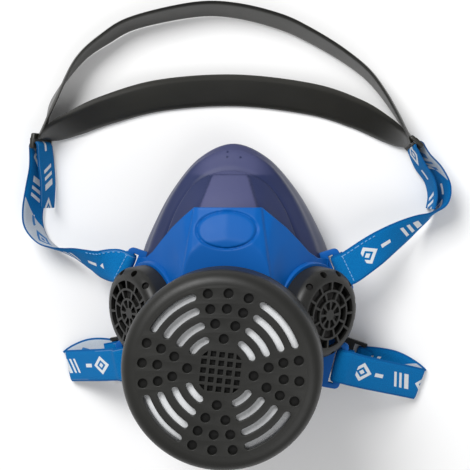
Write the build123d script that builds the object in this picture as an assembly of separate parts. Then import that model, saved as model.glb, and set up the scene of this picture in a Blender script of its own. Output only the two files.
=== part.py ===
from build123d import *
import math
import os

# Half-mask respirator with one central filter, two exhalation valves and a webbing harness.
# Units are millimetres. +Z is the filter axis and points away from the face, +Y points to the
# nose, +X to the wearer's left. The origin is the middle of the face opening, in the plane of
# the cheek seals. The mask lies face down on that plane, with its straps laid out on it.

os.makedirs("parts", exist_ok=True)

# ---------------------------------------------------------------- driving dimensions
FACE_HALF_WIDTH = 50.5     # widest half width of the facepiece, at its rolled seal
NOSE_REACH = 99.0          # from the filter axis to the nose end of the facepiece
CHIN_REACH = 46.0          # from the filter axis to the chin end
WIDEST_Y = 20.0            # the facepiece is widest here
DOME_TOP = 61.0            # height of the facepiece's flat front
FACE_WALL = 3.0            # rubber thickness
RIM_LIFT_RADIUS = 150.0    # the seal rises from the cheeks to the nose and the chin on this arc
CHEEK_FRONT_Y = 40.0       # the seal is flat between these two
CHEEK_REAR_Y = -6.0

SHELL_THICKNESS = 2.6      # rigid front shell
SHELL_GAP = 0.15           # between the shell and the rubber it covers
PANEL_RAISE = 1.3          # raised middle panel of the shell
PANEL_TOP_Y = 69.5
BADGE_HALF_X = 13.6        # blank oval badge on the panel
BADGE_HALF_Y = 8.2
BADGE_Y = 59.5
BADGE_GROOVE = 1.0

FILTER_BORE = 22.0         # air passage behind the filter
NUT_RADIUS = 17.0          # ring nut that clamps the rubber and the shell to the housing
NECK_WALL = 2.0
HOUSING_FLOOR_Z = 69.5     # back of the filter housing
HOUSING_DIAMETER = 80.0
HOUSING_WALL = 2.2
HOUSING_TOP_Z = 87.0
CAP_DIAMETER = 88.0
CAP_WALL = 2.4
CAP_BACK_Z = 71.0
CAP_FRONT_Z = 94.0
CAP_ROUND = 6.5            # rounded shoulder of the cap
THREAD_GAP = 0.35

SLOT_WIDTH = 3.2           # concentric slots in the cap, four groups
SLOT_RADII = (14.9, 21.3, 27.9, 34.1)
SLOT_SPANS = (27.5, 32.6, 34.0, 37.0)
HOLE_DIAMETER = 4.2        # round holes between the slots, four groups
HOLE_ROWS = ((34.1, (-15, 0, 15)), (27.4, (-15, 0, 15)), (20.9, (-12, 12)), (14.4, (0,)))
GRID_RADIUS = 10.5         # square-holed grid in the middle
GRID_PITCH = 3.75
GRID_CELL = 2.3
PATTERN_TURN = -6.0        # the cap stops this far round from square

VALVE_X = 46.6             # centre of an exhalation grille, mirrored for the other side
VALVE_Y = 20.0
VALVE_Z = 50.0
VALVE_AXIS = (0.743, -0.10, 0.66)
COVER_DIAMETER = 42.0
COVER_DEPTH = 11.5
COVER_WALL = 1.8
COVER_ROUND = 5.0
SEAT_TUBE = 32.0           # outside diameter of the tube through the shell and the rubber
SEAT_WALL = 2.0
SEAT_LENGTH = 15.0
FIT = 0.3                  # clearance between pieces that move past each other

BAR_RADIUS = 1.5           # bars that the webbing goes round
LUG_THICKNESS = 3.0
UPPER_BAR = (51.8, 38.8, 27.0)
UPPER_BAR_TURN = 22.5      # the bar leans this far from the Y direction
LOWER_BAR = (51.0, -5.5, 35.0)
LOWER_BAR_TURN = -14.0

WEB_WIDTH = 16.0           # woven strap
WEB_THICKNESS = 1.2
STRIP_WIDTH = 17.0         # strips of the head cradle
STRIP_THICKNESS = 1.6
SPLIT_X = 58.5             # the head harness swings freely outside this plane
SPLIT_GAP = 0.35

LOOP_RADIUS = BAR_RADIUS + FIT + WEB_THICKNESS / 2
UP = Vector(0, 0, 1)


def save(shape, name):
    """Write one node, checked to be sound and closed."""
    solids = shape.solids()
    assert solids and all(s.volume > 0 for s in solids), name
    shape.label = name
    export_step(shape, f"parts/{name}.step")
    return shape


# ---------------------------------------------------------------- facepiece outline
# Half an outline, as fractions of the half width and of the reach from the widest line.
POINTED = ((0, 1), (0.32, 0.915), (0.59, 0.72), (0.79, 0.495), (0.91, 0.30), (1, 0))
BLUNT = ((0, 1), (0.50, 0.955), (0.74, 0.81), (0.88, 0.58), (0.96, 0.33), (1, 0))
CHIN = ((0.95, -0.35), (0.78, -0.66), (0.45, -0.90), (0, -1))

# Height, half width, nose reach and chin reach as shares of the full ones, and bluntness.
SECTIONS = (
    (-1.0, 0.965, 0.965, 0.955, 0.0),
    (14.0, 1.0, 1.0, 1.0, 0.0),
    (28.0, 0.90, 0.97, 0.935, 0.15),
    (42.0, 0.69, 0.85, 0.80, 0.5),
    (54.0, 0.47, 0.69, 0.63, 1.0),
    (DOME_TOP, 0.40, 0.53, 0.47, 1.0),
)


def outline(z, section, grow):
    """A closed smooth outline at height z, grown outward by grow."""
    width = FACE_HALF_WIDTH * section[1] + grow
    nose = NOSE_REACH * section[2] + grow - WIDEST_Y
    chin = CHIN_REACH * section[3] + grow + WIDEST_Y
    blunt = section[4]
    half = []
    for (x0, y0), (x1, y1) in zip(POINTED, BLUNT):
        half.append((width * (x0 + (x1 - x0) * blunt), WIDEST_Y + nose * (y0 + (y1 - y0) * blunt)))
    for x, y in CHIN:
        half.append((width * x, WIDEST_Y + chin * y))
    other = [(-x, y) for x, y in reversed(half[1:-1])]
    points = [Vector(x, y, z) for x, y in half + other]
    return Wire([Edge.make_spline(points, periodic=True)])


def dome(grow, top_drop):
    """The facepiece's outer form, grown outward by grow, with its flat front top_drop lower."""
    wires = []
    for section in SECTIONS:
        z = section[0] - (top_drop * max(section[0], 0) / DOME_TOP)
        wires.append(outline(z, section, grow))
    return Solid.make_loft(wires)


def seal_profile():
    """Keeps what is above the seal line: flat at the cheeks, rising to nose and chin."""
    far = 140.0
    tall = 120.0
    angle = 40.0
    front = CenterArc((CHEEK_FRONT_Y, RIM_LIFT_RADIUS), RIM_LIFT_RADIUS, 270, angle)
    rear = CenterArc((CHEEK_REAR_Y, RIM_LIFT_RADIUS), RIM_LIFT_RADIUS, 270, -angle)
    flat = Line(rear @ 0, front @ 0)
    top_front = (front @ 1).X, tall
    top_rear = (rear @ 1).X, tall
    sides = Polyline(front @ 1, top_front, top_rear, rear @ 1)
    face = make_face([flat, front, rear, sides])
    plane = Plane(origin=(-far / 2, 0, 0), x_dir=(0, 1, 0), z_dir=(1, 0, 0))
    return extrude(plane * face, far)


# ---------------------------------------------------------------- exhalation valve frames
def valve_plane(side):
    """Plane at the middle of a grille, facing out along the valve's axis."""
    axis = Vector(side * VALVE_AXIS[0], VALVE_AXIS[1], VALVE_AXIS[2]).normalized()
    across = Vector(0, 1, 0).cross(axis).normalized()
    return Plane(origin=(side * VALVE_X, VALVE_Y, VALVE_Z), x_dir=across, z_dir=axis)


def on_valve(side, low, high, radius):
    """A cylinder on the valve's axis between two distances from the grille's front."""
    plane = valve_plane(side)
    base = Cylinder(radius, high - low, align=(Align.CENTER, Align.CENTER, Align.MIN))
    return plane * Pos(0, 0, low) * base


# ---------------------------------------------------------------- lugs
def lug(bar, turn, side, depth):
    """A strap lug: a plate with a slot behind a round bar at its outer edge."""
    arm = 2.4
    half = WEB_WIDTH / 2 + FIT + 0.4
    plate_length = 2 * (half + arm)
    slot_back = LOOP_RADIUS + WEB_THICKNESS / 2 + 1.0
    place = Pos(side * bar[0], bar[1], bar[2]) * Rot(0, 0, side * turn)
    plate = Pos(side * (BAR_RADIUS - depth) / 2, 0, 0) * Box(
        depth + BAR_RADIUS, plate_length, LUG_THICKNESS
    )
    plate = fillet(plate.edges().filter_by(Axis.Z), 1.2)
    slot_length = slot_back + BAR_RADIUS + 2
    slot = Pos(side * (slot_length / 2 - slot_back), 0, 0) * Box(
        slot_length, 2 * half, LUG_THICKNESS + 2
    )
    rod = Rot(90, 0, 0) * Cylinder(BAR_RADIUS, 2 * half + 1)
    return place * ((plate - slot) + rod)


# ---------------------------------------------------------------- ribbons
def band(route, width, thickness):
    """A flat strap through (point, width direction) pairs, its sections square to the route."""
    wires = []
    for i, (point, across) in enumerate(route):
        before = route[max(i - 1, 0)][0]
        after = route[min(i + 1, len(route) - 1)][0]
        ahead = (after - before).normalized()
        across = (across - ahead * across.dot(ahead)).normalized()
        normal = ahead.cross(across)
        a = across * (width / 2)
        n = normal * (thickness / 2)
        corners = [point - a - n, point + a - n, point + a + n, point - a + n]
        wires.append(Wire.make_polygon(corners, close=True))
    return Solid.make_loft(wires, ruled=True)


def smooth(stations, steps):
    """Stations with more between them, on a curve that passes through each."""
    result = []
    last = len(stations) - 1
    for i in range(last):
        p0 = stations[max(i - 1, 0)]
        p1 = stations[i]
        p2 = stations[i + 1]
        p3 = stations[min(i + 2, last)]
        for k in range(steps):
            t = k / steps
            row = []
            for a, b, c, d in zip(p0, p1, p2, p3):
                row.append(b + 0.5 * t * (c - a + t * (2 * a - 5 * b + 4 * c - d
                                                       + t * (3 * (b - c) + d - a))))
            result.append(tuple(row))
    result.append(stations[-1])
    return result


def laid(stations, inner, steps=2):
    """Route of a strap from (x, y, z, lean) rows.

    inner is 1 where the inside of the bend is left of the way, -1 where it is right. A lean of 0
    lies flat, 90 stands on edge with the inner edge up, and more leans outward.
    """
    rows = smooth(stations, steps)
    route = []
    for i, (x, y, z, lean) in enumerate(rows):
        before = rows[max(i - 1, 0)]
        after = rows[min(i + 1, len(rows) - 1)]
        way = Vector(after[0] - before[0], after[1] - before[1], 0).normalized()
        side = Vector(-way.Y, way.X, 0) * inner
        across = side * math.cos(math.radians(lean)) + UP * math.sin(math.radians(lean))
        route.append((Vector(x, y, z), across))
    return route


def turn_round(centre, across, first, second, radius, start, stop, count):
    """Part of a loop round a bar: from start to stop degrees, first towards second."""
    route = []
    for k in range(count + 1):
        angle = math.radians(start + (stop - start) * k / count)
        point = centre + first * (radius * math.cos(angle)) + second * (radius * math.sin(angle))
        route.append((point, across))
    return route


# ================================================================ facepiece and shell
outer_form = dome(0, 0)
inner_form = dome(-FACE_WALL, FACE_WALL)
seal_cut = seal_profile()
neck_outer = FILTER_BORE / 2 + NECK_WALL
neck_hole = Pos(0, 0, DOME_TOP) * Cylinder(neck_outer + SHELL_GAP, 40)

facepiece = (outer_form - inner_form) & seal_cut
facepiece -= neck_hole
# recess under the top wall that the nut and its washer turn in
nut_recess = NUT_RADIUS + FIT
facepiece -= Pos(0, 0, DOME_TOP - FACE_WALL - 3) * Cylinder(nut_recess, 6)
for side in (-1, 1):
    facepiece -= on_valve(side, -45, 0, SEAT_TUBE / 2 + SHELL_GAP)
facepiece = save(facepiece.solids().sort_by(SortBy.VOLUME)[-1], "facepiece")

# The shell wraps the front of the rubber inside this outline, given as one half.
SHELL_EDGE = (
    (0, PANEL_TOP_Y), (15.5, PANEL_TOP_Y), (20.3, 65.5), (26.4, 60.2), (32.0, 54.0),
    (36.7, 48.2), (40.5, 45.4), (45.0, 45.0), (46.5, 36.0), (46.5, 26.0), (45.0, -6.0),
    (40.0, -14.0), (26.0, -27.0), (0, -33.0),
)
edge_points = list(SHELL_EDGE) + [(-x, y) for x, y in reversed(SHELL_EDGE[1:-1])]
shell_outline = extrude(make_face(Polyline(*edge_points, close=True)), 90)
shell_region = shell_outline & (Pos(0, 0, 57) * Box(200, 300, 66))
shell_form = dome(SHELL_THICKNESS + SHELL_GAP, -SHELL_THICKNESS - SHELL_GAP)
shell = shell_form & shell_region
panel_half = 15.5
panel_points = ((-panel_half, PANEL_TOP_Y - 1.5), (panel_half, PANEL_TOP_Y - 1.5),
                (20.5, 41.0), (20.5, 26.0), (-20.5, 26.0), (-20.5, 41.0))
panel_prism = extrude(make_face(Polyline(*panel_points, close=True)), 90)
panel = dome(SHELL_THICKNESS + PANEL_RAISE, -SHELL_THICKNESS - PANEL_RAISE) & panel_prism
shell = shell + (panel & shell_region)
for side in (-1, 1):
    shell += lug(UPPER_BAR, UPPER_BAR_TURN, side, 24)
    shell += lug(LOWER_BAR, LOWER_BAR_TURN, side, 22)
    shell += on_valve(side, -COVER_DEPTH - 12, -COVER_DEPTH - FIT, COVER_DIAMETER / 2 + 0.6)
shell -= dome(SHELL_GAP, -SHELL_GAP)
for side in (-1, 1):
    # pocket that the cover sits in and pulls out of
    shell -= on_valve(side, -COVER_DEPTH - FIT, 12, COVER_DIAMETER / 2 + 0.5)
for side in (-1, 1):
    shell -= on_valve(side, -45, 0, SEAT_TUBE / 2 + SHELL_GAP)
shell -= neck_hole
badge_ring = Ellipse(BADGE_HALF_X, BADGE_HALF_Y) - Ellipse(BADGE_HALF_X - 0.9, BADGE_HALF_Y - 0.9)
badge_prism = Pos(0, BADGE_Y, 0) * extrude(badge_ring, 90)
badge_skin = dome(SHELL_THICKNESS + PANEL_RAISE + 1, -SHELL_THICKNESS - PANEL_RAISE - 1)
badge_skin -= dome(SHELL_THICKNESS + PANEL_RAISE - BADGE_GROOVE,
                   -SHELL_THICKNESS - PANEL_RAISE + BADGE_GROOVE)
shell -= badge_prism & badge_skin
shell = save(shell.solids().sort_by(SortBy.VOLUME)[-1], "front_shell")

# ================================================================ filter housing stack
shell_top = DOME_TOP + SHELL_THICKNESS + PANEL_RAISE
neck_bottom = DOME_TOP - FACE_WALL - 9.0
MIN = (Align.CENTER, Align.CENTER, Align.MIN)


def ring(outer, inner, low, high):
    """A plain ring on the filter axis."""
    return Pos(0, 0, low) * (Cylinder(outer, high - low, align=MIN)
                             - Cylinder(inner, high - low, align=MIN))


def disc(radius, low, high):
    """A plain disc on the filter axis."""
    return Pos(0, 0, low) * Cylinder(radius, high - low, align=MIN)


housing = ring(HOUSING_DIAMETER / 2, HOUSING_DIAMETER / 2 - HOUSING_WALL,
               HOUSING_FLOOR_Z, HOUSING_TOP_Z)
housing += ring(HOUSING_DIAMETER / 2, FILTER_BORE / 2, HOUSING_FLOOR_Z, HOUSING_FLOOR_Z + 2.4)
housing += ring(neck_outer, FILTER_BORE / 2, neck_bottom, HOUSING_FLOOR_Z + 1)
housing += ring(neck_outer + 5, neck_outer - 0.5, shell_top + 1.8, HOUSING_FLOOR_Z + 1)
# spider that holds the stem of the inhalation flap
spider_low = neck_bottom + 1.0
spider_high = spider_low + 2.0
for k in range(3):
    spoke = Box(FILTER_BORE / 2 + 0.6, 2.2, 2.0)
    spoke = Pos(FILTER_BORE / 4, 0, (spider_low + spider_high) / 2) * spoke
    housing += Rot(0, 0, 90 + 120 * k) * spoke
housing += disc(4.0, spider_low, spider_high)
housing += ring(FILTER_BORE / 2 + 0.5, FILTER_BORE / 2 - 2.2, spider_low, spider_high)
housing -= disc(1.9, spider_low - 1, spider_high + 1)
save(housing, "filter_housing")

save(ring(neck_outer + 5, neck_outer + FIT, shell_top + SHELL_GAP, shell_top + 1.8), "housing_gasket")

nut = ring(NUT_RADIUS, neck_outer + SHELL_GAP, DOME_TOP - FACE_WALL - 5.0,
           DOME_TOP - FACE_WALL - 1.2)
for k in range(8):
    nut -= Rot(0, 0, 45 * k) * Pos(neck_outer + 4.6, 0, DOME_TOP - FACE_WALL - 3) * Cylinder(1.6, 8)
save(nut, "housing_nut")
save(ring(neck_outer + 3.4, neck_outer + FIT, DOME_TOP - FACE_WALL - 1.2, DOME_TOP - FACE_WALL - 0.1),
     "nut_washer")

# inhalation flap: a thin disc under the spider, with a barbed stem through its hub
flap_top = spider_low - 0.15
FLAP_LIFT = 2.0
flap = disc(FILTER_BORE / 2 - 0.6, flap_top - 1.0, flap_top)
flap += disc(1.5, flap_top - 0.5, spider_high + FLAP_LIFT + 0.3)
flap += disc(2.6, spider_high + FLAP_LIFT + 0.3, spider_high + FLAP_LIFT + 1.5)
save(flap, "inhalation_flap")

# particle cartridge on its seal inside the housing
cartridge_radius = HOUSING_DIAMETER / 2 - HOUSING_WALL - 0.5
seal_low = HOUSING_FLOOR_Z + 2.4
save(ring(cartridge_radius - 1, cartridge_radius - 6, seal_low, seal_low + 1.6), "cartridge_seal")
cartridge_low = seal_low + 1.6
cartridge_high = HOUSING_TOP_Z - 1.4
cartridge = disc(cartridge_radius, cartridge_low, cartridge_high)
save(cartridge, "filter_cartridge")

# dust pad and its carrier ring: they ride out with the cap and don't turn with it
cap_inside_z = CAP_FRONT_Z - CAP_WALL
cap_bore = CAP_DIAMETER / 2 - CAP_WALL
pad_radius = cap_bore - CAP_ROUND + CAP_WALL - 0.4
save(disc(pad_radius - 1.4, cap_inside_z - 3.0, cap_inside_z - FIT), "dust_pad")
carrier = ring(pad_radius, pad_radius - 1.3, HOUSING_TOP_Z + 0.4, cap_inside_z - FIT)
carrier += ring(pad_radius, pad_radius - 5.0, HOUSING_TOP_Z + 0.4, cap_inside_z - 3.1)
save(carrier, "pad_carrier")

# ---------------------------------------------------------------- cap
cap_half = [
    (0, CAP_FRONT_Z), (CAP_DIAMETER / 2 - CAP_ROUND, CAP_FRONT_Z),
    (CAP_DIAMETER / 2, CAP_FRONT_Z - CAP_ROUND), (CAP_DIAMETER / 2, CAP_BACK_Z),
    (cap_bore, CAP_BACK_Z), (cap_bore, CAP_FRONT_Z - CAP_ROUND),
    (cap_bore - CAP_ROUND + CAP_WALL, cap_inside_z), (0, cap_inside_z),
]
cap_profile = make_face([
    Line(cap_half[0], cap_half[1]),
    RadiusArc(cap_half[1], cap_half[2], CAP_ROUND),
    Line(cap_half[2], cap_half[3]),
    Line(cap_half[3], cap_half[4]),
    Line(cap_half[4], cap_half[5]),
    RadiusArc(cap_half[5], cap_half[6], -(CAP_ROUND - CAP_WALL)),
    Line(cap_half[6], cap_half[7]),
    Line(cap_half[7], cap_half[0]),
])
cap = revolve(Plane.XZ * cap_profile, Axis.Z)


def pierce(sketch):
    """A cutter through the cap's face."""
    return Pos(0, 0, cap_inside_z - 2) * extrude(sketch, CAP_WALL + 4)


cuts = []
for group in range(4):
    middle = 45 + 90 * group + PATTERN_TURN
    for radius, span in zip(SLOT_RADII, SLOT_SPANS):
        arc = CenterArc((0, 0), radius, middle - span / 2, span)
        cuts.append(pierce(SlotArc(arc, SLOT_WIDTH)))
    for radius, angles in HOLE_ROWS:
        for angle in angles:
            turn = math.radians(90 * group + PATTERN_TURN + angle)
            hole = Pos(radius * math.cos(turn), radius * math.sin(turn)) * Circle(HOLE_DIAMETER / 2)
            cuts.append(pierce(hole))
for i in range(-2, 3):
    for j in range(-2, 3):
        cell = Pos(i * GRID_PITCH, j * GRID_PITCH) * Rectangle(GRID_CELL, GRID_CELL)
        cell = Rot(0, 0, PATTERN_TURN) * cell & Circle(GRID_RADIUS)
        if cell.area > 1.0:
            cuts.append(pierce(cell))
cap -= cuts
# one coarse thread ridge, drawn as a plain ring inside the skirt, and a grip bead at its back edge
cap += ring(CAP_DIAMETER / 2 - 0.5, HOUSING_DIAMETER / 2 + THREAD_GAP, CAP_BACK_Z, CAP_BACK_Z + 2.0)
save(cap, "filter_cap")

# ================================================================ exhalation valves
seat_face = -COVER_DEPTH + 2.6
VALVE_LIFT = 1.6
for side, word in ((-1, "right"), (1, "left")):
    plane = valve_plane(side)
    tube_inner = SEAT_TUBE / 2 - SEAT_WALL
    back = -COVER_DEPTH - SEAT_LENGTH
    seat = on_valve(side, back, seat_face, SEAT_TUBE / 2) - on_valve(side, back, seat_face, tube_inner)
    seat += (on_valve(side, -COVER_DEPTH, -COVER_DEPTH + 2.0, COVER_DIAMETER / 2 - COVER_WALL - FIT)
             - on_valve(side, -COVER_DEPTH, -COVER_DEPTH + 2.0, tube_inner))
    for k in range(4):
        spoke = Pos(tube_inner / 2, 0, seat_face - 1.2) * Box(tube_inner + 0.6, 1.8, 1.8)
        spoke = Rot(0, 0, 90 * k) * spoke
        seat += plane * spoke
    seat += on_valve(side, seat_face - 2.1, seat_face - 0.3, 3.6)
    seat -= on_valve(side, seat_face - 4, seat_face + 1, 1.8)
    save(seat, f"exhalation_seat_{word}")

    flap_low = seat_face + 0.15
    flap = on_valve(side, flap_low, flap_low + 1.0, SEAT_TUBE / 2 - 0.6)
    flap += on_valve(side, seat_face - 2.4 - VALVE_LIFT, flap_low + 0.5, 1.4)
    flap += on_valve(side, seat_face - 3.6 - VALVE_LIFT, seat_face - 2.4 - VALVE_LIFT, 2.4)
    save(flap, f"exhalation_flap_{word}")

    radius = COVER_DIAMETER / 2
    half = make_face([
        Line((0, 0), (radius - COVER_ROUND, 0)),
        RadiusArc((radius - COVER_ROUND, 0), (radius, -COVER_ROUND), COVER_ROUND),
        Line((radius, -COVER_ROUND), (radius, -COVER_DEPTH)),
        Line((radius, -COVER_DEPTH), (radius - COVER_WALL, -COVER_DEPTH)),
        Line((radius - COVER_WALL, -COVER_DEPTH), (radius - COVER_WALL, -COVER_ROUND)),
        RadiusArc((radius - COVER_WALL, -COVER_ROUND),
                  (radius - COVER_ROUND, -COVER_WALL), -(COVER_ROUND - COVER_WALL)),
        Line((radius - COVER_ROUND, -COVER_WALL), (0, -COVER_WALL)),
        Line((0, -COVER_WALL), (0, 0)),
    ])
    cover = revolve(Plane.XZ * half, Axis.Z)
    # spider-web grille: rings of sector holes with thin ribs and spokes between them
    rows = ((2.6, 6.2, 8, 0), (7.2, 10.8, 8, 22.5), (11.8, 15.4, 12, 0))
    for low, high, count, start in rows:
        for k in range(count):
            step = 360 / count
            rib = math.degrees(0.55 / ((low + high) / 2))
            first = start + k * step + rib
            span = step - 2 * rib
            inner_arc = CenterArc((0, 0), low, first, span)
            outer_arc = CenterArc((0, 0), high, first, span)
            hole = make_face([inner_arc, Line(inner_arc @ 1, outer_arc @ 1), outer_arc,
                              Line(outer_arc @ 0, inner_arc @ 0)])
            cover -= Pos(0, 0, -COVER_WALL - 1) * extrude(hole, COVER_WALL + 2)
    for k in range(12):
        tilt = Rot(0, 0, 15 + 30 * k) * Pos(radius - 2.2, 0, -2.2) * Rot(0, 45, 0)
        cover -= tilt * Cylinder(1.7, 4.2)
    save(plane * cover, f"exhalation_cover_{word}")

# ================================================================ upper straps
# Rows of (x, y, z, lean) laid out by hand from the lug to the cradle slot.
UPPER_LEFT_ROUTE = (
    (66.0, 47.2, 23.5, 14), (76.0, 53.6, 18.5, 36), (86.5, 59.6, 13.4, 58), (95.0, 64.6, 10.2, 82),
    (100.4, 70.8, 9.0, 106), (100.6, 78.0, 8.6, 116), (97.2, 85.8, 8.6, 114), (92.0, 92.3, 8.8, 110),
)
UPPER_RIGHT_ROUTE = (
    (-64.3, 40.2, 23.0, 24), (-72.0, 42.3, 18.5, 48), (-80.0, 44.8, 14.0, 68), (-90.0, 47.6, 10.8, 86),
    (-96.8, 51.8, 9.4, 101), (-101.0, 59.0, 8.8, 114), (-101.4, 66.5, 8.6, 118),
    (-99.8, 77.0, 8.4, 118), (-98.6, 88.0, 8.8, 110),
)
# Cradle bars: middle point, way that the strap arrives, lean of the bar
CRADLE_BAR_LEFT = (Vector(87.6, 96.6, 9.6), Vector(-0.72, 0.69, 0), 106)
CRADLE_BAR_RIGHT = (Vector(-96.9, 98.0, 9.6), Vector(0.05, 1.0, 0), 106)
CRADLE_BAR_RADIUS = 1.2
CRADLE_LOOP = CRADLE_BAR_RADIUS + FIT + WEB_THICKNESS / 2
TAIL_LEFT = ((89.9, 87.2, 9.2, 108), (92.6, 80.0, 9.0, 104), (92.2, 70.0, 9.0, 100))
TAIL_RIGHT = ((-94.4, 90.0, 9.2, 108), (-93.6, 79.0, 9.0, 106), (-94.0, 67.5, 9.0, 104))


def lug_route(bar, turn, side, slope, tail):
    """Both plies round a lug bar: the under ply's end first, then over the bar and out."""
    angle = math.radians(side * turn)
    across = Vector(-math.sin(angle), math.cos(angle), 0)
    out = Vector(side * math.cos(angle), side * math.sin(angle), 0)
    fall = math.radians(slope)
    ahead = out * math.cos(fall) - UP * math.sin(fall)
    normal = out * math.sin(fall) + UP * math.cos(fall)
    centre = Vector(side * bar[0], bar[1], bar[2])
    under = (centre + ahead * tail - normal * LOOP_RADIUS, across)
    bend = turn_round(centre, across, -normal, -ahead, LOOP_RADIUS, 0, 180, 8)
    return [under] + bend, ahead, normal, centre, across


def cut_beyond(side, solid, keep_outside):
    """The part of a solid outside, or inside, the plane where the harness swings free."""
    big = 400
    if keep_outside:
        x = side * (SPLIT_X + SPLIT_GAP + big / 2)
    else:
        x = side * (SPLIT_X - big / 2)
    return solid & (Pos(x, 0, 0) * Box(big, big, big))


for side, word, route, bar, tail in (
    (1, "left", UPPER_LEFT_ROUTE, CRADLE_BAR_LEFT, TAIL_LEFT),
    (-1, "right", UPPER_RIGHT_ROUTE, CRADLE_BAR_RIGHT, TAIL_RIGHT),
):
    loop, ahead, normal, centre, across = lug_route(UPPER_BAR, UPPER_BAR_TURN, side, 20, 4.5)
    start = centre + normal * LOOP_RADIUS + ahead * 4.0
    strap = laid(route, side, 2)
    ramp = loop + [(start, across)] + [(strap[0][0], across)]
    inside = cut_beyond(side, band(ramp, WEB_WIDTH, WEB_THICKNESS), False)
    save(inside.solids().sort_by(SortBy.VOLUME)[-1], f"upper_lug_loop_{word}")

    middle, way, lean = bar
    sideways = Vector(-way.Y, way.X, 0) * side
    bar_across = sideways * math.cos(math.radians(lean)) + UP * math.sin(math.radians(lean))
    inward = bar_across.cross(way) * -side
    if inward.dot(Vector(-side, 0, 0)) < 0:
        inward = inward * -1
    bend = turn_round(middle, bar_across, -inward, way, CRADLE_LOOP, 0, 180, 8)
    tail_route = laid(tail, -side, 2)
    lead = [(start, across)] + strap
    full = lead + bend + tail_route
    outside = cut_beyond(side, band(full, WEB_WIDTH, WEB_THICKNESS), True)
    save(outside.solids().sort_by(SortBy.VOLUME)[-1], f"upper_strap_{word}")

# ================================================================ head cradle
# Rows of (x, y, lean) from the wearer's right end to the left end. Each strip stands on the
# surface on its lower edge, and twists upright at both ends.
LOWER_STRIP_ROUTE = (
    (-91.0, 104.2, 84), (-80.0, 109.6, 52), (-64.1, 116.1, 36), (-37.2, 123.2, 28),
    (-0.5, 125.4, 27), (36.2, 121.0, 28), (58.2, 113.9, 34), (72.0, 106.6, 50), (80.6, 100.0, 84),
)
UPPER_STRIP_ROUTE = (
    (-93.2, 108.0, 100), (-90.0, 121.0, 108), (-77.8, 140.1, 90), (-64.1, 151.1, 80), (-49.4, 158.7, 76),
    (-20.1, 164.6, 72), (0.0, 163.9, 70), (21.5, 158.4, 69), (36.2, 151.6, 71), (50.8, 142.9, 74),
    (63.1, 133.5, 78), (71.9, 124.3, 83), (79.2, 113.2, 88), (82.6, 104.6, 92),
)
STRIP_CLEAR = 0.5          # the strips' lower edges are this far above the surface
BUCKLE_LENGTH = 11.0       # slotted end fittings of the cradle
BUCKLE_THICKNESS = 2.4


def standing(rows, width):
    """(x, y, z, lean) rows from (x, y, lean) rows, resting on the lower edge."""
    return [(x, y, STRIP_CLEAR + abs(math.sin(math.radians(lean))) * width / 2 + STRIP_THICKNESS / 2
             * abs(math.cos(math.radians(lean))), lean) for x, y, lean in rows]


lower_strip = band(laid(standing(LOWER_STRIP_ROUTE, STRIP_WIDTH), 1, 2), STRIP_WIDTH, STRIP_THICKNESS)
save(lower_strip, "cradle_lower_strip")
upper_strip = band(laid(standing(UPPER_STRIP_ROUTE, STRIP_WIDTH), 1, 2), STRIP_WIDTH, STRIP_THICKNESS)
save(upper_strip, "cradle_upper_strip")

# Each end fitting is an upright plate with a slot, between its bar and the two strips.
for side, word, bar, ends in (
    (1, "left", CRADLE_BAR_LEFT, (LOWER_STRIP_ROUTE[-1], UPPER_STRIP_ROUTE[-1])),
    (-1, "right", CRADLE_BAR_RIGHT, (LOWER_STRIP_ROUTE[0], UPPER_STRIP_ROUTE[0])),
):
    middle, way, lean = bar
    sideways = Vector(-way.Y, way.X, 0) * side
    bar_across = sideways * math.cos(math.radians(lean)) + UP * math.sin(math.radians(lean))
    target = (Vector(*ends[0][:2], middle.Z) + Vector(*ends[1][:2], middle.Z)) * 0.5
    toward = target - middle
    toward = (toward - bar_across * toward.dot(bar_across)).normalized()
    frame = Plane(origin=middle, x_dir=toward, z_dir=toward.cross(bar_across))
    half = WEB_WIDTH / 2 + FIT + 0.2
    slot_front = CRADLE_LOOP + WEB_THICKNESS / 2 + 0.6
    plate = Pos(BUCKLE_LENGTH / 2 - 1, 0, 0) * Box(BUCKLE_LENGTH, 2 * half + 2.4, BUCKLE_THICKNESS)
    slot = Pos((slot_front - 3) / 2, 0, 0) * Box(slot_front + 3, 2 * half, BUCKLE_THICKNESS + 2)
    rod = Rot(90, 0, 0) * Cylinder(CRADLE_BAR_RADIUS, 2 * half + 0.6)
    buckle = frame * ((plate - slot) + rod)
    buckle -= [lower_strip, upper_strip]
    save(buckle.solids().sort_by(SortBy.VOLUME)[-1], f"cradle_buckle_{word}")

# ================================================================ lower straps
# Rows of (distance out from the lug bar, height relative to it): the front ply drops to the
# surface, folds under itself and comes back along the surface to its neck clip.
LOWER_ROUTE = (
    (7.0, -2.6), (14.0, -8.0), (21.0, -14.2), (28.0, -20.8), (35.0, -27.2), (39.0, -30.6),
    (40.3, -32.4), (39.0, -33.7), (34.0, -33.8), (26.0, -33.8), (18.0, -33.8), (11.0, -33.8),
)
LOWER_REACH = {"left": 1.03, "right": 0.86}     # the wearer's left half lies out further
LOWER_AIM = {"left": -19.0, "right": -11.0}     # degrees toward the chin
CLIP_BAR = (9.5, -31.9)
CLIP_WIDTH = 20.0
CLIP_LENGTH = 10.0

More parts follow.
